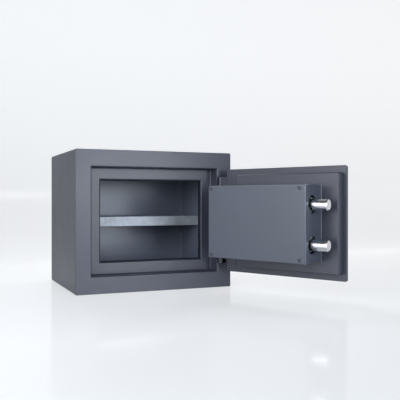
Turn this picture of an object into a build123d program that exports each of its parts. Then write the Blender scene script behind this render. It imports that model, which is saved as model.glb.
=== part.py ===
from build123d import *
import math
import os

# Compact double-walled security safe, in millimetres.
# X runs across the front, Y into the safe, Z up; the origin is the centre of the base.
# The door is drawn in the coordinates it has when shut, then stands open on its hinge pins.

# Overall body
width = 356.0
depth = 250.0
height = 300.0
casing_t = 3.0
bend_r = 3.0
sheet_t = 2.0
edge_r = 0.8

# Front rim and the rebate the door shuts into
rim_side = 34.0
rim_top = 36.0
rim_fold = 2.4
reveal_depth = 32.0
frame_t = 3.0
frame_bend = 2.6
lip_free = 27.0
lip_hinge = 24.5
lip_top = 25.5
lip_return = 13.0
back_wall = 50.0

# Hinges, set in pockets of the rim
pin_setback = 9.0
pin_r = 2.5
barrel_r = 4.5
pin_gap = 0.05
pocket_w = 22.0
pocket_d = 15.0
pocket_h = 50.0
pocket_end = 17.0
washer_t = 1.0
knuckle_gap = 1.0
leaf_t = 4.0
leaf_proud = 1.2
box_t = 2.0

# Shelf
shelf_z = 157.0
shelf_setback = 98.0
shelf_lip = 22.0
shelf_t = 1.5
shelf_hem = 9.0
shelf_gap = 1.0
shelf_back_gap = 3.0
rail_w = 16.0
rail_t = 2.0

# Anchor holes
anchor_r = 6.0
sleeve_r = 9.0
anchor_spacing = 180.0
anchor_back_z = 150.0

# Door
door_open_deg = 118.4
door_gap = 2.0
door_gap_hinge = 12.5
plate_t = 7.0
plate_corner = 3.5
plate_edge = 1.0
pan_margin_free = 6.5
pan_margin_hinge = 39.0
pan_margin_z = 14.0
pan_depth = 23.0
pan_bend = 2.5

# Lock case on the back of the door
case_inset = 34.5
case_clearance = 1.5
case_height = 148.0
case_depth = 66.0
case_bend = 1.6
case_hole_r = 17.5
case_screw_free = 12.5
case_screw_hinge = 7.5
case_screw_z = 6.5
pillar_r = 4.0
pillar_bore = 16.0
screw_r = 1.5
screw_length = 12.0
screw_head_r = 2.8
screw_recess_r = 3.6
screw_head_h = 1.4
screw_sink = 1.0

# Bolt work inside the lock case
bolt_r = 11.0
bolt_chamfer = 1.5
bolt_spacing = 76.0
bolt_drop = 1.6
bolt_axis_depth = 38.0
bolt_reach = 32.5
bolt_stroke = 28.6
bolt_gap = 0.06
mount_t = 3.0
mount_margin = 5.0
bracket_t = 3.0
bracket_inset = 4.5
bracket_length = 28.0
bracket_h = 52.0
bush_r = 14.0
bush_flange = 1.5
bar_t = 6.0
bar_gap = 6.0
bar_inset = 1.0
bar_end = 8.0
bar_screw_r = 3.0
bar_screw_head_r = 5.5
bar_screw_head_h = 4.0
tongue_t = 4.0
tongue_length = 42.0
tongue_h = 62.0
tongue_depth = 31.0
slot_setback = 17.0
crank_pin_r = 4.0
slot_play = 0.9
crank_sweep_deg = 90.0
crank_t = 6.0
crank_boss_r = 12.0
crank_wall = 2.5
crank_gap = 1.5
spindle_r = 6.0
spindle_gap = 0.06

# Handle on the front of the door
rose_r = 21.0
rose_t = 7.0
rose_edge = 2.5
handle_hub_r = 13.0
handle_hub_gap = 1.0
handle_hub_t = 22.0
socket_depth = 16.0
lever_length = 84.0
lever_tip_r = 8.0
lever_t = 11.0
lever_edge = 3.0

# Key lock
key_setback = 80.0
lock_w = 56.0
lock_h = 84.0
lock_t = 24.0
key_r = 3.2
key_slot_w = 2.4
key_slot_h = 11.0
scutcheon_r = 17.0
scutcheon_t = 3.0
cover_r = 11.0
cover_t = 2.5
cover_gap = 0.4
cover_drop = 3.0
cover_pivot_r = 2.0
cover_head_r = 4.0
cover_pivot_rise = 10.0
cover_hole_gap = 0.06

# Fixed dog bolts on the hinge side
dog_r = 8.0
dog_reach = 16.0
dog_axis_depth = 32.5
dog_inset = 24.0
dog_base_t = 6.0
dog_base_h = 24.0

# Places worked out from the sizes above
left = -width / 2
right = width / 2
front = -depth / 2
back = depth / 2
open_left = left + rim_side
open_right = right - rim_side
open_bottom = rim_top
open_top = height - rim_top
lip_y = front + reveal_depth
inner_left = open_left + lip_free
inner_right = open_right - lip_hinge
inner_bottom = open_bottom + lip_top
inner_top = open_top - lip_top
inner_back = back - back_wall
liner_front = lip_y + frame_t
hinge_x = open_right + pin_setback
hinge_y = front
pocket_right = open_right + pocket_w
pocket_y = front + pocket_d
lower_pocket_z = open_bottom + pocket_end
upper_pocket_z = open_top - pocket_end - pocket_h
anchor_xs = (-anchor_spacing / 2, anchor_spacing / 2)

plate_left = open_left + door_gap
plate_right = open_right - door_gap_hinge
plate_bottom = open_bottom + door_gap
plate_top = open_top - door_gap
plate_y = front + plate_t
pan_left = plate_left + pan_margin_free
pan_right = plate_right - pan_margin_hinge
pan_bottom = plate_bottom + pan_margin_z
pan_top = plate_top - pan_margin_z
pan_y = plate_y + pan_depth
case_left = pan_left + case_inset
case_right = inner_right - case_clearance
case_bottom = height / 2 - case_height / 2
case_top = height / 2 + case_height / 2
case_y = pan_y + case_depth
bolt_y = pan_y + bolt_axis_depth
bolt_mid_z = height / 2 - bolt_drop
bolt_zs = (bolt_mid_z + bolt_spacing / 2, bolt_mid_z - bolt_spacing / 2)
bolt_tip_x = case_left - bolt_reach
mount_y = pan_y + mount_t
bracket_x = case_left + sheet_t + bracket_inset
bar_x = bracket_x + bracket_length + bar_gap
slot_x = bar_x + bar_t + slot_setback
crank_r = bolt_stroke / 2 / math.sin(math.radians(crank_sweep_deg / 2))
spindle_x = slot_x + bolt_stroke / 2
spindle_z = bolt_mid_z
tongue_y = pan_y + tongue_depth
crank_y = tongue_y - crank_gap - crank_t
key_x = spindle_x + key_setback
key_z = height / 2
dog_y = pan_y + dog_axis_depth
dog_zs = (case_bottom + dog_inset, case_top - dog_inset)

# Standing the door open: every door plane is turned about the hinge pins
opening_swing = Pos(hinge_x, hinge_y, 0) * Rot(0, 0, door_open_deg) * Pos(-hinge_x, -hinge_y, 0)
door_space = Plane(opening_swing * Plane.XY.location)
door_across = Axis(door_space.origin, door_space.x_dir)
door_inward = Axis(door_space.origin, door_space.y_dir)


def across(y):
    # the plane parallel to the front of the body, y behind or before the origin
    return Plane.XZ.offset(-y)


def on_door(plane):
    # the same plane, carried round by the open door
    return Plane(opening_swing * plane.location)


def span(x0, x1, z0, z1, mode=Mode.ADD, corner=0.0):
    # a rectangle between two corners, with round corners if asked for
    with Locations(((x0 + x1) / 2, (z0 + z1) / 2)):
        if corner > 0:
            RectangleRounded(x1 - x0, z1 - z0, corner, mode=mode)
        else:
            Rectangle(x1 - x0, z1 - z0, mode=mode)


def finish(part, name):
    # label a finished piece and write it to its own file
    part.label = name
    export_step(part, f"parts/{name}.step")


os.makedirs("parts", exist_ok=True)

# Outer casing: top, base, sides and front rim folded from one sheet, open at the back
with BuildPart() as outer_casing:
    with BuildSketch(across(front)):
        span(left, right, 0, height)
    extrude(amount=-depth)
    fillet(outer_casing.edges().filter_by(Axis.Y), radius=bend_r)
    fillet(outer_casing.faces().sort_by(Axis.Y)[0].edges(), radius=edge_r)
    with BuildSketch(across(front + casing_t)):
        span(left + casing_t, right - casing_t, casing_t, height - casing_t)
    extrude(amount=-(depth - casing_t), mode=Mode.SUBTRACT)
    with BuildSketch(across(front)):
        span(open_left, open_right, open_bottom, open_top)
    extrude(amount=-casing_t, mode=Mode.SUBTRACT)
    fillet(outer_casing.faces().sort_by(Axis.Y)[0].inner_wires().edges(), radius=rim_fold)
    with BuildSketch(across(front)):
        for pocket_z in (lower_pocket_z, upper_pocket_z):
            span(open_right - casing_t, pocket_right, pocket_z, pocket_z + pocket_h)
    extrude(amount=-casing_t, mode=Mode.SUBTRACT)
    with BuildSketch(Plane.XY):
        with Locations((anchor_xs[0], 0), (anchor_xs[1], 0)):
            Circle(anchor_r)
    extrude(amount=casing_t, mode=Mode.SUBTRACT)
finish(outer_casing.part, "outer_casing")

# Back panel, set flush into the open back of the casing
with BuildPart() as back_panel:
    with BuildSketch(across(back)):
        with Locations((0, height / 2)):
            Rectangle(width - 2 * casing_t, height - 2 * casing_t)
        with Locations((anchor_xs[0], anchor_back_z), (anchor_xs[1], anchor_back_z)):
            Circle(anchor_r, mode=Mode.SUBTRACT)
    extrude(amount=casing_t)
finish(back_panel.part, "back_panel")

# Door frame: the walls of the rebate, the lip the bolts lock behind, and its return
with BuildPart() as door_frame:
    with BuildSketch(across(front + casing_t)):
        span(open_left - frame_t, open_right + frame_t, open_bottom - frame_t, open_top + frame_t)
    extrude(amount=-(liner_front - front - casing_t))
    with BuildSketch(across(front + casing_t)):
        span(open_left, open_right, open_bottom, open_top)
    extrude(amount=-(reveal_depth - casing_t), mode=Mode.SUBTRACT)
    with BuildSketch(across(lip_y)):
        span(inner_left - frame_t, inner_right + frame_t, inner_bottom - frame_t, inner_top + frame_t)
    extrude(amount=-lip_return)
    with BuildSketch(across(lip_y)):
        span(inner_left, inner_right, inner_bottom, inner_top)
    extrude(amount=-lip_return, mode=Mode.SUBTRACT)
    lip_plane = door_frame.faces().filter_by(Axis.Y).filter_by(
        lambda face: abs(face.center().Y - lip_y) < edge_r).sort_by(SortBy.AREA)[-1]
    fillet(lip_plane.edges(), radius=frame_bend)
finish(door_frame.part, "door_frame")

# Inner liner: the five walls of the compartment
with BuildPart() as inner_liner:
    with BuildSketch(across(liner_front)):
        span(open_left - sheet_t, open_right + sheet_t, open_bottom - sheet_t, open_top + sheet_t)
    extrude(amount=-(inner_back + sheet_t - liner_front))
    with BuildSketch(across(liner_front)):
        span(open_left, open_right, open_bottom, open_top)
    extrude(amount=-(inner_back - liner_front), mode=Mode.SUBTRACT)
    with BuildSketch(Plane.XY.offset(open_bottom - sheet_t)):
        with Locations((anchor_xs[0], 0), (anchor_xs[1], 0)):
            Circle(anchor_r)
    extrude(amount=sheet_t, mode=Mode.SUBTRACT)
    with BuildSketch(across(inner_back)):
        with Locations((anchor_xs[0], anchor_back_z), (anchor_xs[1], anchor_back_z)):
            Circle(anchor_r)
    extrude(amount=-sheet_t, mode=Mode.SUBTRACT)
finish(inner_liner.part, "inner_liner")

# Barrier fill cast between the casing and the liner
with BuildPart() as barrier_fill:
    with BuildSketch(across(liner_front)):
        span(left + casing_t, right - casing_t, casing_t, height - casing_t)
    extrude(amount=-(back - casing_t - liner_front))
    with BuildSketch(across(liner_front)):
        span(open_left - sheet_t, open_right + sheet_t, open_bottom - sheet_t, open_top + sheet_t)
    extrude(amount=-(inner_back + sheet_t - liner_front), mode=Mode.SUBTRACT)
    with BuildSketch(Plane.XY.offset(casing_t)):
        with Locations((anchor_xs[0], 0), (anchor_xs[1], 0)):
            Circle(sleeve_r)
    extrude(amount=open_bottom - sheet_t - casing_t, mode=Mode.SUBTRACT)
    with BuildSketch(across(inner_back + sheet_t)):
        with Locations((anchor_xs[0], anchor_back_z), (anchor_xs[1], anchor_back_z)):
            Circle(sleeve_r)
    extrude(amount=-(back_wall - sheet_t - casing_t), mode=Mode.SUBTRACT)
finish(barrier_fill.part, "barrier_fill")

# Anchor sleeves that carry the fixing bolts through the double walls
with BuildPart() as floor_sleeves:
    with BuildSketch(Plane.XY.offset(casing_t)):
        with Locations((anchor_xs[0], 0), (anchor_xs[1], 0)):
            Circle(sleeve_r)
            Circle(anchor_r, mode=Mode.SUBTRACT)
    extrude(amount=open_bottom - sheet_t - casing_t)
finish(floor_sleeves.part, "floor_anchor_sleeves")

with BuildPart() as back_sleeves:
    with BuildSketch(across(inner_back + sheet_t)):
        with Locations((anchor_xs[0], anchor_back_z), (anchor_xs[1], anchor_back_z)):
            Circle(sleeve_r)
            Circle(anchor_r, mode=Mode.SUBTRACT)
    extrude(amount=-(back_wall - sheet_t - casing_t))
finish(back_sleeves.part, "back_anchor_sleeves")

# Hinges: a pocket box behind the rim, a fixed knuckle with its pin, a washer and a door leaf
for place, pocket_z in (("lower", lower_pocket_z), ("upper", upper_pocket_z)):
    knuckle_z = pocket_z + knuckle_gap
    washer_z = pocket_z + pocket_h / 2 - washer_t / 2
    leaf_z = washer_z + washer_t
    leaf_top = pocket_z + pocket_h - knuckle_gap

    with BuildPart() as hinge_box:
        with BuildSketch(across(front + casing_t)):
            span(open_right + frame_t, pocket_right + box_t, pocket_z - box_t, pocket_z + pocket_h + box_t)
        extrude(amount=-(pocket_d - casing_t + box_t))
        with BuildSketch(across(front + casing_t)):
            span(open_right + frame_t, pocket_right, pocket_z, pocket_z + pocket_h)
        extrude(amount=-(pocket_d - casing_t), mode=Mode.SUBTRACT)
    finish(hinge_box.part, f"hinge_pocket_{place}")

    with BuildPart() as knuckle:
        with BuildSketch(Plane.XY.offset(knuckle_z)):
            with Locations((hinge_x, hinge_y)):
                Circle(barrel_r)
            span(hinge_x - barrel_r, hinge_x + barrel_r, hinge_y, pocket_y)
            with Locations((hinge_x, hinge_y)):
                Circle(pin_r, mode=Mode.SUBTRACT)
        extrude(amount=washer_z - knuckle_z)
    finish(knuckle.part, f"hinge_knuckle_{place}")

    with BuildPart() as hinge_pin:
        with BuildSketch(Plane.XY.offset(knuckle_z)):
            with Locations((hinge_x, hinge_y)):
                Circle(pin_r)
        extrude(amount=leaf_top - knuckle_z)
        chamfer(hinge_pin.faces().sort_by(Axis.Z)[-1].edges(), length=edge_r)
    finish(hinge_pin.part, f"hinge_pin_{place}")

    with BuildPart() as washer:
        with BuildSketch(Plane.XY.offset(washer_z)):
            with Locations((hinge_x, hinge_y)):
                Circle(barrel_r)
                Circle(pin_r + pin_gap, mode=Mode.SUBTRACT)
        extrude(amount=washer_t)
    finish(washer.part, f"hinge_washer_{place}")

    with BuildPart() as leaf:
        with BuildSketch(on_door(Plane.XY.offset(leaf_z))):
            with Locations((hinge_x, hinge_y)):
                Circle(barrel_r)
            span(plate_right, hinge_x, front - leaf_proud, front - leaf_proud + leaf_t)
            with Locations((hinge_x, hinge_y)):
                Circle(pin_r + pin_gap, mode=Mode.SUBTRACT)
        extrude(amount=leaf_top - leaf_z)
    finish(leaf.part, f"door_leaf_{place}")

# Shelf: a folded tray with a deep front lip, a hemmed lip edge and a back lip
shelf_front = front + shelf_setback
with BuildPart() as shelf:
    with BuildSketch(Plane.YZ.offset(open_left + shelf_gap)):
        with BuildLine():
            Polyline(
                (shelf_front + shelf_hem, shelf_z - shelf_lip),
                (shelf_front, shelf_z - shelf_lip),
                (shelf_front, shelf_z),
                (inner_back - shelf_back_gap, shelf_z),
                (inner_back - shelf_back_gap, shelf_z - shelf_lip),
                (inner_back - shelf_back_gap - shelf_t, shelf_z - shelf_lip),
                (inner_back - shelf_back_gap - shelf_t, shelf_z - shelf_t),
                (shelf_front + shelf_t, shelf_z - shelf_t),
                (shelf_front + shelf_t, shelf_z - shelf_lip + shelf_t),
                (shelf_front + shelf_hem, shelf_z - shelf_lip + shelf_t),
                close=True,
            )
        make_face()
    extrude(amount=open_right - open_left - 2 * shelf_gap)
    fillet(shelf.edges().filter_by(Axis.X).group_by(Axis.Y)[0], radius=edge_r)
finish(shelf.part, "shelf")

# Shelf rails: an angle on each side wall, under the shelf between its lips
rail_front = shelf_front + shelf_hem + shelf_gap
rail_back = inner_back - shelf_back_gap - shelf_t - shelf_gap
for side, wall_x, inward in (("left", open_left, 1), ("right", open_right, -1)):
    with BuildPart() as rail:
        with BuildSketch(across(rail_front)):
            with BuildLine():
                Polyline(
                    (wall_x, shelf_z - shelf_t),
                    (wall_x + inward * rail_w, shelf_z - shelf_t),
                    (wall_x + inward * rail_w, shelf_z - shelf_t - rail_t),
                    (wall_x + inward * rail_t, shelf_z - shelf_t - rail_t),
                    (wall_x + inward * rail_t, shelf_z - shelf_t - rail_w),
                    (wall_x, shelf_z - shelf_t - rail_w),
                    close=True,
                )
            make_face()
        extrude(amount=-(rail_back - rail_front))
    finish(rail.part, f"shelf_rail_{side}")

# Door plate: the flat steel plate that closes the rebate
with BuildPart() as door_plate:
    with BuildSketch(on_door(across(front))):
        span(plate_left, plate_right, plate_bottom, plate_top, corner=plate_corner)
    extrude(amount=-plate_t)
    fillet(door_plate.faces().filter_by(door_inward).edges(), radius=plate_edge)
    with BuildSketch(on_door(across(front))):
        with Locations((spindle_x, spindle_z)):
            Circle(spindle_r + spindle_gap)
        with Locations((key_x, key_z)):
            Circle(key_r)
        with Locations((key_x, key_z - key_slot_h / 2)):
            Rectangle(key_slot_w, key_slot_h)
    extrude(amount=-plate_t, mode=Mode.SUBTRACT)
finish(door_plate.part, "door_plate")

# Door pan: the raised tray on the back of the plate
with BuildPart() as door_pan:
    with BuildSketch(on_door(across(plate_y))):
        span(pan_left, pan_right, pan_bottom, pan_top)
    extrude(amount=-pan_depth)
    fillet(door_pan.edges().filter_by(door_inward), radius=pan_bend)
    fillet(door_pan.faces().sort_by(door_inward)[-1].edges(), radius=pan_bend)
    with BuildSketch(on_door(across(plate_y))):
        span(pan_left + sheet_t, pan_right - sheet_t, pan_bottom + sheet_t, pan_top - sheet_t)
    extrude(amount=-(pan_depth - sheet_t), mode=Mode.SUBTRACT)
    with BuildSketch(on_door(across(plate_y))):
        with Locations((spindle_x, spindle_z)):
            Circle(spindle_r + spindle_gap)
        with Locations((key_x, key_z)):
            Circle(key_r)
        with Locations((key_x, key_z - key_slot_h / 2)):
            Rectangle(key_slot_w, key_slot_h)
    extrude(amount=-pan_depth, mode=Mode.SUBTRACT)
finish(door_pan.part, "door_pan")

# Door fill: the barrier slab inside the pan
with BuildPart() as door_fill:
    with BuildSketch(on_door(across(plate_y))):
        span(pan_left + sheet_t, pan_right - sheet_t, pan_bottom + sheet_t, pan_top - sheet_t)
    extrude(amount=-(pan_depth - sheet_t))
    with BuildSketch(on_door(across(plate_y))):
        with Locations((spindle_x, spindle_z)):
            Circle(spindle_r + spindle_gap)
        with Locations((key_x, key_z)):
            Circle(key_r)
        with Locations((key_x, key_z - key_slot_h / 2)):
            Rectangle(key_slot_w, key_slot_h)
    extrude(amount=-pan_depth, mode=Mode.SUBTRACT)
finish(door_fill.part, "door_fill")

# Lock case: the screwed cover over the bolt work
case_screws_at = [
    (case_left + case_screw_free, case_bottom + case_screw_z),
    (case_left + case_screw_free, case_top - case_screw_z),
    (case_right - case_screw_hinge, case_bottom + case_screw_z),
    (case_right - case_screw_hinge, case_top - case_screw_z),
]
with BuildPart() as lock_case:
    with BuildSketch(on_door(across(pan_y))):
        span(case_left, case_right, case_bottom, case_top)
    extrude(amount=-case_depth)
    fillet(lock_case.edges().filter_by(door_inward), radius=case_bend)
    fillet(lock_case.faces().sort_by(door_inward)[-1].edges(), radius=case_bend)
    with BuildSketch(on_door(across(pan_y))):
        span(case_left + sheet_t, case_right - sheet_t, case_bottom + sheet_t, case_top - sheet_t)
    extrude(amount=-(case_depth - sheet_t), mode=Mode.SUBTRACT)
    with BuildSketch(on_door(Plane.YZ.offset(case_left))):
        with Locations((bolt_y, bolt_zs[0]), (bolt_y, bolt_zs[1])):
            Circle(case_hole_r)
    extrude(amount=sheet_t, mode=Mode.SUBTRACT)
    with BuildSketch(on_door(Plane.YZ.offset(case_right - sheet_t))):
        with Locations((dog_y, dog_zs[0]), (dog_y, dog_zs[1])):
            Circle(dog_r)
    extrude(amount=sheet_t, mode=Mode.SUBTRACT)
    with BuildSketch(on_door(across(case_y))):
        with Locations(*case_screws_at):
            Circle(screw_recess_r)
    extrude(amount=screw_sink, mode=Mode.SUBTRACT)
    with BuildSketch(on_door(across(case_y))):
        with Locations(*case_screws_at):
            Circle(screw_r)
    extrude(amount=sheet_t, mode=Mode.SUBTRACT)
finish(lock_case.part, "lock_case")

# Case pillars and the four screws that hold the cover to them
with BuildPart() as case_pillars:
    with BuildSketch(on_door(across(pan_y))):
        with Locations(*case_screws_at):
            Circle(pillar_r)
    extrude(amount=-(case_depth - sheet_t))
    with BuildSketch(on_door(across(case_y - sheet_t))):
        with Locations(*case_screws_at):
            Circle(screw_r)
    extrude(amount=pillar_bore, mode=Mode.SUBTRACT)
finish(case_pillars.part, "case_pillars")

with BuildPart() as case_screws:
    with BuildSketch(on_door(across(case_y - screw_sink))):
        with Locations(*case_screws_at):
            Circle(screw_head_r)
    extrude(amount=-screw_head_h)
    fillet(case_screws.edges().group_by(door_inward)[-1], radius=edge_r)
    with BuildSketch(on_door(across(case_y - screw_sink))):
        with Locations(*case_screws_at):
            Circle(screw_r)
    extrude(amount=screw_length)
finish(case_screws.part, "case_screws")

# Mounting plate for the lock and bolt work, fixed to the pan inside the case
with BuildPart() as mount_plate:
    with BuildSketch(on_door(across(pan_y))):
        span(case_left + sheet_t + mount_margin, case_right - sheet_t - mount_margin,
             case_bottom + sheet_t + mount_margin, case_top - sheet_t - mount_margin)
        with Locations(*case_screws_at):
            Circle(pillar_r, mode=Mode.SUBTRACT)
        with Locations((spindle_x, spindle_z)):
            Circle(spindle_r + spindle_gap, mode=Mode.SUBTRACT)
        with Locations((key_x, key_z)):
            Circle(key_r, mode=Mode.SUBTRACT)
        with Locations((key_x, key_z - key_slot_h / 2)):
            Rectangle(key_slot_w, key_slot_h, mode=Mode.SUBTRACT)
    extrude(amount=-mount_t)
finish(mount_plate.part, "mount_plate")

# Guide bracket: a channel whose two flanges carry the bolts in bushes
bracket_bottom = bolt_zs[1] - bush_r
bracket_top = bolt_zs[0] + bush_r
with BuildPart() as guide_bracket:
    with BuildSketch(on_door(Plane.XY.offset(bracket_bottom))):
        with BuildLine():
            Polyline(
                (bracket_x, mount_y),
                (bracket_x + bracket_length, mount_y),
                (bracket_x + bracket_length, mount_y + bracket_h),
                (bracket_x + bracket_length - bracket_t, mount_y + bracket_h),
                (bracket_x + bracket_length - bracket_t, mount_y + bracket_t),
                (bracket_x + bracket_t, mount_y + bracket_t),
                (bracket_x + bracket_t, mount_y + bracket_h),
                (bracket_x, mount_y + bracket_h),
                close=True,
            )
        make_face()
    extrude(amount=bracket_top - bracket_bottom)
    with BuildSketch(on_door(Plane.YZ.offset(bracket_x))):
        with Locations((bolt_y, bolt_zs[0]), (bolt_y, bolt_zs[1])):
            Circle(bush_r - bush_flange)
    extrude(amount=bracket_length, mode=Mode.SUBTRACT)
finish(guide_bracket.part, "guide_bracket")

# Bushes: four flanged sleeves, pressed into the flanges of the bracket
with BuildPart() as guide_bushes:
    for bush_x in (bracket_x, bracket_x + bracket_length - bracket_t):
        with BuildSketch(on_door(Plane.YZ.offset(bush_x))):
            with Locations((bolt_y, bolt_zs[0]), (bolt_y, bolt_zs[1])):
                Circle(bush_r - bush_flange)
                Circle(bolt_r + bolt_gap, mode=Mode.SUBTRACT)
        extrude(amount=bracket_t)
        with BuildSketch(on_door(Plane.YZ.offset(bush_x + bracket_t))):
            with Locations((bolt_y, bolt_zs[0]), (bolt_y, bolt_zs[1])):
                Circle(bush_r)
                Circle(bolt_r + bolt_gap, mode=Mode.SUBTRACT)
        extrude(amount=bush_flange)
finish(guide_bushes.part, "guide_bushes")

# Live bolts: two steel rounds with chamfered noses
for place, bolt_z in (("upper", bolt_zs[0]), ("lower", bolt_zs[1])):
    with BuildPart() as live_bolt:
        with BuildSketch(on_door(Plane.YZ.offset(bolt_tip_x))):
            with Locations((bolt_y, bolt_z)):
                Circle(bolt_r)
        extrude(amount=bar_x - bolt_tip_x)
        chamfer(live_bolt.faces().sort_by(door_across)[0].edges(), length=bolt_chamfer)
        with BuildSketch(on_door(Plane.YZ.offset(bar_x))):
            with Locations((bolt_y, bolt_z)):
                Circle(bar_screw_r)
        extrude(amount=-bolt_r, mode=Mode.SUBTRACT)
    finish(live_bolt.part, f"live_bolt_{place}")

# Bolt bar: the upright that joins the bolts, and the tongue with the crank's slot
crank_start = math.radians(crank_sweep_deg / 2)
crank_rise = crank_r * math.cos(crank_start)
slot_length = crank_r - crank_rise + 2 * (crank_pin_r + slot_play)
with BuildPart() as bolt_bar:
    with BuildSketch(on_door(Plane.YZ.offset(bar_x))):
        span(tongue_y, bolt_y + bolt_r - bar_inset,
             bolt_zs[1] - bar_end, bolt_zs[0] + bar_end, corner=plate_corner)
        with Locations((bolt_y, bolt_zs[0]), (bolt_y, bolt_zs[1])):
            Circle(bar_screw_r, mode=Mode.SUBTRACT)
    extrude(amount=bar_t)
    with BuildSketch(on_door(across(tongue_y))):
        span(bar_x + bar_t, bar_x + bar_t + tongue_length, bolt_mid_z - tongue_h / 2, bolt_mid_z + tongue_h / 2)
        with Locations((slot_x, spindle_z + (crank_r + crank_rise) / 2)):
            SlotOverall(slot_length, 2 * (crank_pin_r + slot_play), rotation=90, mode=Mode.SUBTRACT)
    extrude(amount=-tongue_t)
finish(bolt_bar.part, "bolt_bar")

with BuildPart() as bar_screws:
    with BuildSketch(on_door(Plane.YZ.offset(bar_x + bar_t))):
        with Locations((bolt_y, bolt_zs[0]), (bolt_y, bolt_zs[1])):
            Circle(bar_screw_head_r)
    extrude(amount=bar_screw_head_h)
    with BuildSketch(on_door(Plane.YZ.offset(bar_x + bar_t))):
        with Locations((bolt_y, bolt_zs[0]), (bolt_y, bolt_zs[1])):
            Circle(bar_screw_r)
    extrude(amount=-(bar_t + bolt_r))
finish(bar_screws.part, "bolt_bar_screws")

# Handle spindle and the crank on its inner end, whose pin drives the slot
hub_y = front - rose_t - handle_hub_gap
with BuildPart() as spindle:
    with BuildSketch(on_door(across(hub_y - socket_depth))):
        with Locations((spindle_x, spindle_z)):
            Circle(spindle_r)
    extrude(amount=-(crank_y + crank_t - hub_y + socket_depth))
finish(spindle.part, "handle_spindle")

crank_pin_at = (spindle_x - crank_r * math.sin(crank_start), spindle_z + crank_rise)
with BuildPart() as crank:
    with BuildSketch(on_door(across(crank_y))):
        with Locations((spindle_x, spindle_z)):
            Circle(crank_boss_r)
        with Locations(crank_pin_at):
            Circle(crank_pin_r + crank_wall)
        make_hull()
        with Locations((spindle_x, spindle_z)):
            Circle(spindle_r, mode=Mode.SUBTRACT)
    extrude(amount=-crank_t)
    with BuildSketch(on_door(across(crank_y + crank_t))):
        with Locations(crank_pin_at):
            Circle(crank_pin_r)
    extrude(amount=-(crank_gap + tongue_t + crank_wall))
finish(crank.part, "handle_crank")

# Handle: a rose on the plate, and a lever that hangs down while the bolts are thrown
with BuildPart() as handle_rose:
    with BuildSketch(on_door(across(front))):
        with Locations((spindle_x, spindle_z)):
            Circle(rose_r)
            Circle(spindle_r + spindle_gap, mode=Mode.SUBTRACT)
    extrude(amount=rose_t)
    fillet(handle_rose.faces().sort_by(door_inward)[0].outer_wire().edges(), radius=rose_edge)
finish(handle_rose.part, "handle_rose")

with BuildPart() as handle_lever:
    with BuildSketch(on_door(across(hub_y - handle_hub_t + lever_t))):
        with Locations((spindle_x, spindle_z)):
            Circle(handle_hub_r)
        with Locations((spindle_x, spindle_z - lever_length)):
            Circle(lever_tip_r)
        make_hull()
    extrude(amount=lever_t)
    fillet(handle_lever.faces().sort_by(door_inward)[0].edges(), radius=lever_edge)
    fillet(handle_lever.faces().sort_by(door_inward)[-1].edges(), radius=edge_r)
    with BuildSketch(on_door(across(hub_y))):
        with Locations((spindle_x, spindle_z)):
            Circle(handle_hub_r - lever_edge)
    extrude(amount=handle_hub_t - lever_t)
    with BuildSketch(on_door(across(hub_y))):
        with Locations((spindle_x, spindle_z)):
            Circle(spindle_r)
    extrude(amount=socket_depth, mode=Mode.SUBTRACT)
finish(handle_lever.part, "handle_lever")

# Key lock: a closed body on the mounting plate, an escutcheon and a swing cover
with BuildPart() as lock_body:
    with BuildSketch(on_door(across(mount_y))):
        span(key_x - lock_w / 2, key_x + lock_w / 2, key_z - lock_h / 2, key_z + lock_h / 2, corner=plate_corner)
        with Locations((key_x, key_z)):
            Circle(key_r, mode=Mode.SUBTRACT)
    extrude(amount=-lock_t)
    fillet(lock_body.faces().sort_by(door_inward)[-1].outer_wire().edges(), radius=edge_r)
finish(lock_body.part, "lock_body")

with BuildPart() as escutcheon:
    with BuildSketch(on_door(across(front))):
        with Locations((key_x, key_z)):
            Circle(scutcheon_r)
            Circle(key_r, mode=Mode.SUBTRACT)
        with Locations((key_x, key_z - key_slot_h / 2)):
            Rectangle(key_slot_w, key_slot_h, mode=Mode.SUBTRACT)
    extrude(amount=scutcheon_t)
    fillet(escutcheon.faces().sort_by(door_inward)[0].outer_wire().edges(), radius=edge_r)
finish(escutcheon.part, "key_escutcheon")

cover_pivot_z = key_z + cover_pivot_rise
cover_y = front - scutcheon_t - cover_gap
with BuildPart() as cover_pivot:
    with BuildSketch(on_door(across(front - scutcheon_t))):
        with Locations((key_x, cover_pivot_z)):
            Circle(cover_pivot_r)
    extrude(amount=cover_gap + cover_t + cover_gap)
    with BuildSketch(on_door(across(cover_y - cover_t - cover_gap))):
        with Locations((key_x, cover_pivot_z)):
            Circle(cover_head_r)
    extrude(amount=edge_r)
finish(cover_pivot.part, "key_cover_pivot")

with BuildPart() as key_cover:
    with BuildSketch(on_door(across(cover_y))):
        with Locations((key_x, cover_pivot_z)):
            Circle(cover_head_r + edge_r)
        with Locations((key_x, key_z - cover_drop)):
            Circle(cover_r)
        make_hull()
        with Locations((key_x, cover_pivot_z)):
            Circle(cover_pivot_r + cover_hole_gap, mode=Mode.SUBTRACT)
    extrude(amount=cover_t)
finish(key_cover.part, "key_cover")

# Dog bolts: fixed rounds on a bracket, that hook behind the lip on the hinge side
dog_base_right = case_right - sheet_t - mount_margin
for place, dog_height in (("lower", dog_zs[0]), ("upper", dog_zs[1])):
    with BuildPart() as dog_bracket:
        with BuildSketch(on_door(Plane.XY.offset(dog_height - dog_base_h / 2))):
            with BuildLine():
                Polyline(
                    (dog_base_right, mount_y),
                    (dog_base_right, dog_y + dog_r + dog_base_t),
                    (dog_base_right - dog_base_t, dog_y + dog_r + dog_base_t),
                    (dog_base_right - dog_base_t, mount_y + dog_base_t),
                    (dog_base_right - dog_base_h, mount_y + dog_base_t),
                    (dog_base_right - dog_base_h, mount_y),
                    close=True,
                )
            make_face()
        extrude(amount=dog_base_h)
    finish(dog_bracket.part, f"dog_bracket_{place}")

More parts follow.
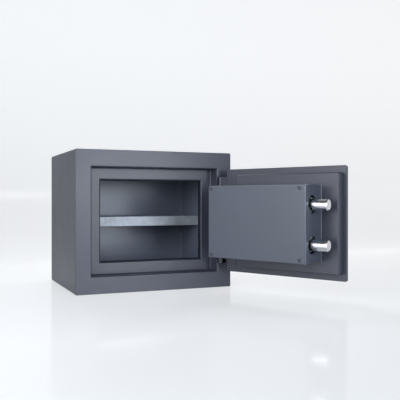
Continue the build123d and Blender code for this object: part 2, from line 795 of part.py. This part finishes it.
with BuildPart() as dog_bolts:
    with BuildSketch(on_door(Plane.YZ.offset(dog_base_right))):
        with Locations((dog_y, dog_zs[0]), (dog_y, dog_zs[1])):
            Circle(dog_r)
    extrude(amount=case_right + dog_reach - dog_base_right)
    chamfer(dog_bolts.edges().filter_by(GeomType.CIRCLE).group_by(door_across)[-1], length=bolt_chamfer)
finish(dog_bolts.part, "dog_bolts")
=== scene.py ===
import bpy
import math
from mathutils import Matrix, Vector


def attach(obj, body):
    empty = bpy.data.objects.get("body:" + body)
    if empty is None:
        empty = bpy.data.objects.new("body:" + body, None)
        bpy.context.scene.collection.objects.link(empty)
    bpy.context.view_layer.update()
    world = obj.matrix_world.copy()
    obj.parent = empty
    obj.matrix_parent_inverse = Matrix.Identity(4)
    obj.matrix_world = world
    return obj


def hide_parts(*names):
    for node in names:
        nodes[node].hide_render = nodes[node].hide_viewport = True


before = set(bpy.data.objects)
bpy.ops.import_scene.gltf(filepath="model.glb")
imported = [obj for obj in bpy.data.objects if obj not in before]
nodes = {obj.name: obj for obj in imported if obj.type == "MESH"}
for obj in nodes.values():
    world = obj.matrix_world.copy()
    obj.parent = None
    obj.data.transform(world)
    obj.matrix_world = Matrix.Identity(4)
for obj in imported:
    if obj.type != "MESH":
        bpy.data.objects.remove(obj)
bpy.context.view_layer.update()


# Shader nodes

def place_node(tree, kind, values=None, **settings):
    # add a node with its settings and the values of its sockets
    node = tree.nodes.new(kind)
    for key, value in settings.items():
        setattr(node, key, value)
    for socket, value in (values or {}).items():
        node.inputs[socket].default_value = value
    return node


def new_finish(name, values=None):
    # a material, with values on the sockets of its surface
    finish = bpy.data.materials.new(name)
    finish.use_nodes = True
    tree = finish.node_tree
    surface = tree.nodes["Principled BSDF"]
    for socket, value in (values or {}).items():
        surface.inputs[socket].default_value = value
    return finish, tree, surface


def figure(tree, operation, *terms, **settings):
    # a sum whose terms are numbers or outputs of other nodes
    node = place_node(tree, "ShaderNodeMath", operation=operation, **settings)
    for socket, term in zip(node.inputs, terms):
        if isinstance(term, float):
            socket.default_value = term
        else:
            tree.links.new(term, socket)
    return node.outputs[0]


def weigh(tree, first, second, share):
    # that share of the first value, and the rest of the second
    return figure(tree, "MULTIPLY_ADD", first, share, figure(tree, "MULTIPLY", second, 1 - share))


def map_range(tree, value, ends):
    node = place_node(tree, "ShaderNodeMapRange", ends)
    tree.links.new(value, node.inputs["Value"])
    return node.outputs["Result"]


def noise(tree, where, scale, detail=2.0):
    texture = place_node(tree, "ShaderNodeTexNoise", {"Scale": scale, "Detail": detail})
    tree.links.new(where, texture.inputs["Vector"])
    return texture.outputs["Fac"]


def object_place(tree):
    return place_node(tree, "ShaderNodeTexCoord").outputs["Object"]


def vary_colour(tree, surface, factor, low, high):
    shade = place_node(tree, "ShaderNodeMix", {"A": (*low, 1), "B": (*high, 1)}, data_type="RGBA")
    tree.links.new(factor, shade.inputs["Factor"])
    tree.links.new(shade.outputs["Result"], surface.inputs["Base Color"])


def vary_roughness(tree, surface, factor, low, high):
    tree.links.new(map_range(tree, factor, {"To Min": low, "To Max": high}), surface.inputs["Roughness"])


def raise_grain(tree, surface, height, strength, distance):
    bump = place_node(tree, "ShaderNodeBump", {"Strength": strength, "Distance": distance})
    tree.links.new(height, bump.inputs["Height"])
    tree.links.new(bump.outputs["Normal"], surface.inputs["Normal"])


def seen_share(tree, mirrored):
    # 1 for what the camera sees, also through glass, that share for what a gloss mirrors, and 0 as light
    rays = place_node(tree, "ShaderNodeLightPath").outputs
    share = figure(tree, "MULTIPLY_ADD", rays["Is Glossy Ray"], mirrored, rays["Is Camera Ray"])
    return figure(tree, "MAXIMUM", share, rays["Is Transmission Ray"])


def scaled(colour, times):
    return [part * times for part in colour]


# Finishes

def powder_coat(name, colour, roughness, peel=0.12, shine=0.5):
    # satin powder coat: fine orange peel, faint clouding of colour and of gloss
    finish, tree, surface = new_finish(name, {"Specular IOR Level": shine})
    where = object_place(tree)
    clouds = noise(tree, where, 9.0, 3.0)
    grain = noise(tree, where, 900.0)
    skin = noise(tree, where, 420.0, 1.0)
    vary_colour(tree, surface, weigh(tree, grain, clouds, 0.35), scaled(colour, 0.9), scaled(colour, 1.1))
    vary_roughness(tree, surface, clouds, roughness - 0.04, roughness + 0.06)
    raise_grain(tree, surface, skin, peel, 0.00025)
    return finish


def galvanised(name, colour, roughness, spangle=90.0):
    # zinc coat: frosted crystals of differing brightness, with dull patches
    finish, tree, surface = new_finish(name, {"Metallic": 0.55})
    where = object_place(tree)
    crystals = place_node(tree, "ShaderNodeTexVoronoi", {"Scale": spangle})
    tree.links.new(where, crystals.inputs["Vector"])
    split = place_node(tree, "ShaderNodeSeparateColor")
    tree.links.new(crystals.outputs["Color"], split.inputs["Color"])
    frost = weigh(tree, split.outputs["Red"], noise(tree, where, 15.0, 4.0), 0.16)
    ramp = place_node(tree, "ShaderNodeValToRGB")
    dull, bright = ramp.color_ramp.elements
    dull.position, dull.color = 0.36, (*scaled(colour, 0.76), 1)
    bright.position, bright.color = 0.64, (*scaled(colour, 1.12), 1)
    tree.links.new(frost, ramp.inputs["Fac"])
    tree.links.new(ramp.outputs["Color"], surface.inputs["Base Color"])
    vary_roughness(tree, surface, frost, roughness - 0.08, roughness + 0.12)
    return finish


def bright_steel(name, colour, roughness):
    # ground or plated steel: fine marks and faint smears
    finish, tree, surface = new_finish(name, {"Metallic": 1.0})
    where = object_place(tree)
    marks = noise(tree, where, 1600.0)
    smears = noise(tree, where, 60.0)
    vary_colour(tree, surface, marks, scaled(colour, 0.93), colour)
    vary_roughness(tree, surface, smears, roughness - 0.05, roughness + 0.08)
    raise_grain(tree, surface, marks, 0.05, 0.0001)
    return finish


def mineral(name, colour):
    # light mineral fill: pores and pale grains
    finish, tree, surface = new_finish(name, {"Roughness": 0.9})
    pores = noise(tree, object_place(tree), 300.0, 5.0)
    vary_colour(tree, surface, pores, scaled(colour, 0.8), colour)
    raise_grain(tree, surface, pores, 0.5, 0.0006)
    return finish


coat = powder_coat("body_coat", (0.046, 0.050, 0.071), 0.31, shine=0.46)
coat_case = powder_coat("lock_case_coat", (0.073, 0.083, 0.112), 0.30)
# a paler copy of the graphite coat for the inside, lifting the shaded compartment and its rails: painted
# light
coat_inside_lightened = powder_coat("inside_coat_lightened", (0.125, 0.143, 0.192), 0.30)
zinc = galvanised("shelf_zinc", (0.40, 0.43, 0.47), 0.50)
zinc_plate = galvanised("mechanism_zinc", (0.50, 0.52, 0.56), 0.45, spangle=140.0)
bolt_steel = bright_steel("bolt_chrome", (0.86, 0.87, 0.90), 0.16)
pin_steel = bright_steel("pin_steel", (0.55, 0.56, 0.58), 0.30)
screw_black = bright_steel("screw_black", (0.075, 0.078, 0.088), 0.28)
washer_brass = bright_steel("washer_brass", (0.78, 0.56, 0.26), 0.30)
bush_plastic = powder_coat("bush_black", (0.018, 0.018, 0.020), 0.5)
near_black_band = powder_coat("near_black_band", (0.007, 0.009, 0.016), 0.55, peel=0.2, shine=0.3)
fill = mineral("cast_fill", (0.46, 0.45, 0.42))

finish_of = {
    "outer_casing": coat, "back_panel": coat, "door_frame": coat,
    "inner_liner": coat_inside_lightened, "shelf_rail_left": coat_inside_lightened, "shelf_rail_right": coat_inside_lightened,
    "hinge_pocket_lower": coat, "hinge_pocket_upper": coat,
    "hinge_knuckle_lower": coat, "hinge_knuckle_upper": coat,
    "door_leaf_lower": coat, "door_leaf_upper": coat,
    "door_plate": coat, "door_pan": coat, "lock_case": coat_case,
    "barrier_fill": fill, "door_fill": fill,
    "floor_anchor_sleeves": zinc_plate, "back_anchor_sleeves": zinc_plate,
    "hinge_pin_lower": pin_steel, "hinge_pin_upper": pin_steel,
    "hinge_washer_lower": washer_brass, "hinge_washer_upper": washer_brass,
    "shelf": zinc, "case_pillars": zinc_plate, "case_screws": screw_black,
    "mount_plate": zinc_plate, "guide_bracket": zinc_plate, "guide_bushes": bush_plastic,
    "lock_body": zinc_plate, "handle_rose": bolt_steel, "handle_lever": bolt_steel,
    "handle_spindle": pin_steel, "handle_crank": zinc_plate,
    "key_escutcheon": bolt_steel, "key_cover_pivot": pin_steel, "key_cover": bolt_steel,
    "dog_bracket_lower": zinc_plate, "dog_bracket_upper": zinc_plate, "dog_bolts": bolt_steel,
    "live_bolt_upper": bolt_steel, "live_bolt_lower": bolt_steel,
    "bolt_bar": zinc_plate, "bolt_bar_screws": pin_steel,
}
for name, finish in finish_of.items():
    carried = nodes[name].data.materials
    carried.clear()
    carried.append(finish)


# The open door: sizes are read in the place the door has when shut, then swung round the pins

door_open = math.radians(118.4)
pin = Vector((0.153, -0.125, 0))
swing = Matrix.Translation(pin) @ Matrix.Rotation(door_open, 4, "Z") @ Matrix.Translation(-pin)
inward = swing.to_3x3() @ Vector((0, 1, 0))
facing_in = Matrix.Rotation(math.radians(-90), 4, "X")
facing_out = Matrix.Rotation(math.radians(90), 4, "X")

case_left, case_right, case_bottom, case_top = -0.101, 0.118, 0.076, 0.224
case_face = -0.029
pan_face = -0.0951


# Steps of modelling

def pick(piece):
    # make the piece the only selected one, and the active one
    bpy.ops.object.select_all(action="DESELECT")
    piece.select_set(True)
    bpy.context.view_layer.objects.active = piece


def start(maker, name, **size):
    # add a primitive with nothing else selected, and name it
    bpy.ops.object.select_all(action="DESELECT")
    maker(**size)
    piece = bpy.context.object
    piece.name = name
    piece.data.name = name
    return piece


def settle():
    # take the active piece's place, turn and scale into its mesh
    bpy.ops.object.transform_apply(location=True, rotation=True, scale=True)


def edit_all():
    # go to edit mode with the whole mesh selected
    bpy.ops.object.mode_set(mode="EDIT")
    bpy.ops.mesh.select_all(action="SELECT")


def choose(piece, test, kind="EDGE"):
    # go to edit mode with just the edges or faces selected that pass the test
    bpy.ops.object.mode_set(mode="EDIT")
    bpy.ops.mesh.select_mode(type=kind)
    bpy.ops.mesh.select_all(action="DESELECT")
    bpy.ops.object.mode_set(mode="OBJECT")
    mesh = piece.data
    if kind == "FACE":
        for face in mesh.polygons:
            face.select = test(face.normal)
    else:
        for edge in mesh.edges:
            edge.select = test(*(mesh.vertices[i].co for i in edge.vertices))
    bpy.ops.object.mode_set(mode="EDIT")


def done(piece, finish, body, place=None, angle=35):
    # settle the piece in its place, give it its finish and the body it moves with
    if piece.mode == "EDIT":
        bpy.ops.object.mode_set(mode="OBJECT")
    if place is not None:
        piece.matrix_world = place @ piece.matrix_world
    pick(piece)
    settle()
    bpy.ops.object.shade_smooth_by_angle(angle=math.radians(angle))
    piece.data.materials.clear()
    piece.data.materials.append(finish)
    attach(piece, body)


# Screws of the lock case: a domed black head with a hexagon socket

def socket_screw(name):
    head_r, head_h, head_round = 0.0028, 0.0016, 0.0009
    socket_r, socket_depth = 0.0013, 0.0010
    screw = start(bpy.ops.mesh.primitive_cylinder_add, name, vertices=36, radius=head_r, depth=head_h,
                  location=(0, 0, head_h / 2))
    settle()

    def on_top(a, b):
        return min(a.z, b.z) > head_h * 0.9

    def on_socket_rim(a, b):
        return on_top(a, b) and max(a.xy.length, b.xy.length) < socket_r * 1.05

    def on_head_rim(a, b):
        return on_top(a, b) and min(a.xy.length, b.xy.length) > head_r * 0.95

    choose(screw, lambda normal: normal.z > 0.9, "FACE")
    bpy.ops.mesh.delete(type="ONLY_FACE")
    bpy.ops.mesh.select_all(action="DESELECT")
    bpy.ops.mesh.primitive_circle_add(vertices=6, radius=socket_r, location=(0, 0, head_h))
    choose(screw, on_top)
    bpy.ops.mesh.bridge_edge_loops()
    choose(screw, on_socket_rim)
    bpy.ops.mesh.extrude_region_move(TRANSFORM_OT_translate={"value": (0, 0, -socket_depth)})
    bpy.ops.mesh.edge_face_add()
    choose(screw, on_head_rim)
    bpy.ops.mesh.bevel(offset=head_round, segments=4, affect="EDGES")
    bpy.ops.mesh.select_all(action="SELECT")
    bpy.ops.mesh.normals_make_consistent(inside=False)
    bpy.ops.object.mode_set(mode="OBJECT")
    return screw


screw_sunk = 0.001
# radius of the case-coloured middle of each screw head: partly paint, partly a painted highlight
paint_and_highlight_r = 0.0019
from_left, from_right, from_end = 0.0125, 0.0075, 0.0065
screw_places = [(x, z) for x in (case_left + from_left, case_right - from_right)
                for z in (case_bottom + from_end, case_top - from_end)]
pattern = socket_screw("case_screw_pattern")
for count, (x, z) in enumerate(screw_places):
    screw = pattern.copy()
    screw.data = pattern.data.copy()
    screw.name = "case_screw_" + str(count + 1)
    screw.data.name = screw.name
    bpy.context.collection.objects.link(screw)
    turned = Matrix.Rotation(math.radians(17 * count), 4, "Z")
    seat = swing @ Matrix.Translation((x, case_face - screw_sunk, z))
    done(screw, screw_black, "door", seat @ facing_in @ turned)
    # the middle of each head has the colour of the case, partly as the head's paint and partly as a painted
    # highlight on its dome, with a dark ring of the black head round it
    screw.data.materials.append(coat_case)
    middle = swing @ Vector((x, case_face, z))
    for face in screw.data.polygons:
        apart = face.center - middle
        if (apart - apart.dot(inward) * inward).length < paint_and_highlight_r:
            face.material_index = 1
    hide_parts("case_screws")
bpy.data.objects.remove(pattern)


# Lock case: the fold at its free edge is wider than the CAD's, cut by a block with that edge rounded

fold_r = 0.0040
clear = 0.00005
block_left, block_face = case_left - clear, case_face + clear
block_size = (0.4, 0.2, 0.4)
block = start(bpy.ops.mesh.primitive_cube_add, "fold_block", size=1,
              location=(block_left + block_size[0] / 2, block_face - block_size[1] / 2, 0.15))
block.scale = block_size
settle()
choose(block, lambda a, b: max(a.x, b.x) < block_left + 0.001 and min(a.y, b.y) > block_face - 0.001)
bpy.ops.mesh.bevel(offset=fold_r, segments=10, affect="EDGES")
bpy.ops.object.mode_set(mode="OBJECT")
block.matrix_world = swing @ block.matrix_world
settle()

cover = bpy.data.objects.new("lock_case_cover", nodes["lock_case"].data.copy())
bpy.context.collection.objects.link(cover)
pick(cover)
edit_all()
bpy.ops.mesh.remove_doubles(threshold=0.000002)
bpy.ops.object.mode_set(mode="OBJECT")
trim = cover.modifiers.new("fold", "BOOLEAN")
trim.operation = "INTERSECT"
trim.solver = "EXACT"
trim.object = block
bpy.ops.object.modifier_apply(modifier="fold")
bpy.data.objects.remove(block)
edit_all()
bpy.ops.mesh.remove_doubles(threshold=0.000005)
bpy.ops.mesh.dissolve_limited(angle_limit=math.radians(0.3))
done(cover, coat_case, "door", angle=30)
even = cover.modifiers.new("even", "WEIGHTED_NORMAL")
even.weight = 100
even.keep_sharp = True
bpy.ops.object.modifier_apply(modifier="even")
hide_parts("lock_case")


# Beads: four-sided trim round a rectangle, rounded on its outer or its inner side

def frame_bead(name, left, right, bottom, top, width, rise, outward):
    half_x, half_y = (right - left) / 2, (top - bottom) / 2
    middle_x, middle_y = (left + right) / 2, (bottom + top) / 2
    bead = start(bpy.ops.mesh.primitive_plane_add, name, size=1)
    bead.scale = (right - left, top - bottom, 1)
    bead.location = (middle_x, middle_y, 0)
    settle()
    bpy.ops.object.mode_set(mode="EDIT")
    bpy.ops.mesh.select_mode(type="FACE")
    bpy.ops.mesh.select_all(action="SELECT")
    bpy.ops.mesh.inset(thickness=width, depth=0)
    bpy.ops.mesh.delete(type="FACE")
    bpy.ops.mesh.select_all(action="SELECT")
    bpy.ops.mesh.extrude_region_move(TRANSFORM_OT_translate={"value": (0, 0, rise)})

    def is_outer(corner):
        return (abs(corner.x - middle_x) > half_x - width / 2
                and abs(corner.y - middle_y) > half_y - width / 2)

    choose(bead, lambda a, b: min(a.z, b.z) > rise * 0.9 and is_outer(a) == is_outer(b) == outward)
    bpy.ops.mesh.bevel(offset=min(width, rise) * 0.9, segments=5, affect="EDGES")
    bpy.ops.mesh.select_all(action="SELECT")
    bpy.ops.mesh.remove_doubles(threshold=0.00001)
    bpy.ops.mesh.normals_make_consistent(inside=False)
    return bead


# round the foot of the lock case
past_case = 0.0013
foot = frame_bead("case_foot_bead", case_left - past_case, case_right + past_case,
                  -case_top - past_case, -case_bottom + past_case, width=0.0015, rise=0.0014, outward=True)
done(foot, coat_case, "door", swing @ Matrix.Translation((0, pan_face, 0)) @ facing_in)

# round the back wall of the compartment
seam_box = (-0.1441, 0.1441, 0.0359, 0.2641)
back_wall = Matrix.Translation((0, 0.0751, 0))
seam = frame_bead("back_wall_seam", *seam_box, width=0.0021, rise=0.0021, outward=False)
done(seam, coat_inside_lightened, "cabinet", back_wall @ facing_out)

# near-black band on the return of the frame, thinner at the sides, where the lock case swings past it
dark_band_box = (-0.1182, 0.1208, 0.0613, 0.2387)
return_end = Matrix.Translation((0, -0.0801, 0))
dark_band = frame_bead("opening_dark_band", *dark_band_box, width=0.0022, rise=0.0102, outward=False)
done(dark_band, near_black_band, "cabinet", return_end @ facing_out)


# Stage: a pale glossy floor that sweeps up into a backdrop

def stage_finish(name):
    # pale studio board that looks lit to near white: more to the right, the back and the top, less in front,
    # and at least by a share that grows with distance
    finish, tree, surface = new_finish(name, {
        "Base Color": (0.66, 0.67, 0.68, 1), "Roughness": 0.09, "Specular IOR Level": 0.26,
        "Emission Color": (0.985, 0.99, 1.0, 1),
    })
    where = object_place(tree)
    lean = place_node(tree, "ShaderNodeVectorMath", {1: (0.080, 0.065, 0.018)}, operation="DOT_PRODUCT")
    tree.links.new(where, lean.inputs[0])
    lift = figure(tree, "ADD", lean.outputs["Value"], 0.487, use_clamp=True)
    axes = place_node(tree, "ShaderNodeSeparateXYZ")
    tree.links.new(where, axes.inputs[0])
    front = map_range(tree, axes.outputs["Y"], {"From Min": -0.95, "From Max": -0.50, "To Min": 0.66})
    away = place_node(tree, "ShaderNodeVectorMath", operation="LENGTH")
    tree.links.new(where, away.inputs[0])
    far = map_range(tree, away.outputs["Value"],
                    {"From Min": 1.8, "From Max": 5.0, "To Min": 0.30, "To Max": 0.88})
    glow = figure(tree, "MAXIMUM", figure(tree, "MULTIPLY", lift, front), far)
    shown = figure(tree, "MULTIPLY", glow, seen_share(tree, 0.26))
    tree.links.new(shown, surface.inputs["Emission Strength"])
    return finish


floor_size, floor_place, backdrop_height = (14, 8, 1), (0, -2.55, 0), 6
floor = start(bpy.ops.mesh.primitive_plane_add, "floor", size=1)
floor.scale = floor_size
floor.location = floor_place
settle()
choose(floor, lambda a, b: min(a.y, b.y) > 1)
bpy.ops.mesh.extrude_region_move(TRANSFORM_OT_translate={"value": (0, 0, backdrop_height)})
bpy.ops.object.mode_set(mode="OBJECT")
fold = floor.modifiers.new("fold", "BEVEL")
fold.width = 1.0
fold.segments = 24
fold.limit_method = "ANGLE"
bpy.ops.object.modifier_apply(modifier="fold")
bpy.ops.object.shade_smooth()
floor.data.materials.append(stage_finish("pale_floor"))


# Light

def softbox(name, place, aim, size, power, colour, spread=180):
    bpy.ops.object.light_add(type="AREA", location=place)
    lamp = bpy.context.object
    lamp.name = name
    lamp.data.shape = "RECTANGLE"
    lamp.data.size, lamp.data.size_y = size
    lamp.data.energy = power
    lamp.data.color = colour
    lamp.data.spread = math.radians(spread)
    lamp.visible_camera = False
    lamp.rotation_euler = (Vector(aim) - Vector(place)).to_track_quat("-Z", "Y").to_euler()


daylight = (0.95, 0.97, 1.0)
softbox("softbox_front", (0.475, -2.0, 0.38), (0, 0, 0.2), (0.85, 0.7), 16, (0.85, 0.91, 1.0))
softbox("softbox_camera", (-0.9, -1.7, 0.8), (0, 0, 0.2), (1.0, 1.0), 13.5, (0.90, 0.95, 1.0))
softbox("softbox_left_front", (-1.5, -1.0, 0.6), (0.1, -0.2, 0.15), (1.0, 1.2), 14.5, (0.94, 0.97, 1.0))
softbox("softbox_left", (-1.7, -0.45, 0.5), (0.15, -0.3, 0.15), (1.2, 1.2), 7.4, daylight)
softbox("softbox_right", (2.2, -0.55, 0.3), (0.2, -0.4, 0.2), (1.0, 1.0), 2.0, daylight)
# narrow beams from behind, so the sides that the photograph doesn't show aren't black
softbox("softbox_rear_right", (2.0, 0.75, 1.1), (0, 0.1, 0.15), (0.8, 0.8), 1.7, daylight, spread=50)
softbox("softbox_rear_top", (0.1, 1.2, 1.75), (0, 0.1, 0.15), (0.9, 0.6), 1.3, daylight, spread=50)

# a dim sky as light, and a pale one where the camera sees past the floor
world = bpy.data.worlds.new("studio")
bpy.context.scene.world = world
world.use_nodes = True
sky = world.node_tree
light = sky.nodes["Background"]
light.inputs["Color"].default_value = (0.96, 0.98, 1.0, 1)
light.inputs["Strength"].default_value = 0.03
seen = place_node(sky, "ShaderNodeBackground", {"Color": (0.90, 0.91, 0.93, 1), "Strength": 1.0})
choose_sky = place_node(sky, "ShaderNodeMixShader")
sky.links.new(seen_share(sky, 0.06), choose_sky.inputs["Fac"])
sky.links.new(light.outputs[0], choose_sky.inputs[1])
sky.links.new(seen.outputs[0], choose_sky.inputs[2])
sky.links.new(choose_sky.outputs[0], sky.nodes["World Output"].inputs["Surface"])


# Camera at the photograph's view

bpy.ops.object.camera_add(location=(-0.4568, -1.3078, 0.1966))
camera = bpy.context.object
camera.name = "view_of_photograph"
camera.rotation_euler = (math.radians(90 - 0.082), 0, math.radians(-21.417))
camera.data.sensor_width = 36
camera.data.lens = 53.14
camera.data.shift_x = 0.10
bpy.context.scene.camera = camera
bpy.context.scene.view_settings.view_transform = "Standard"
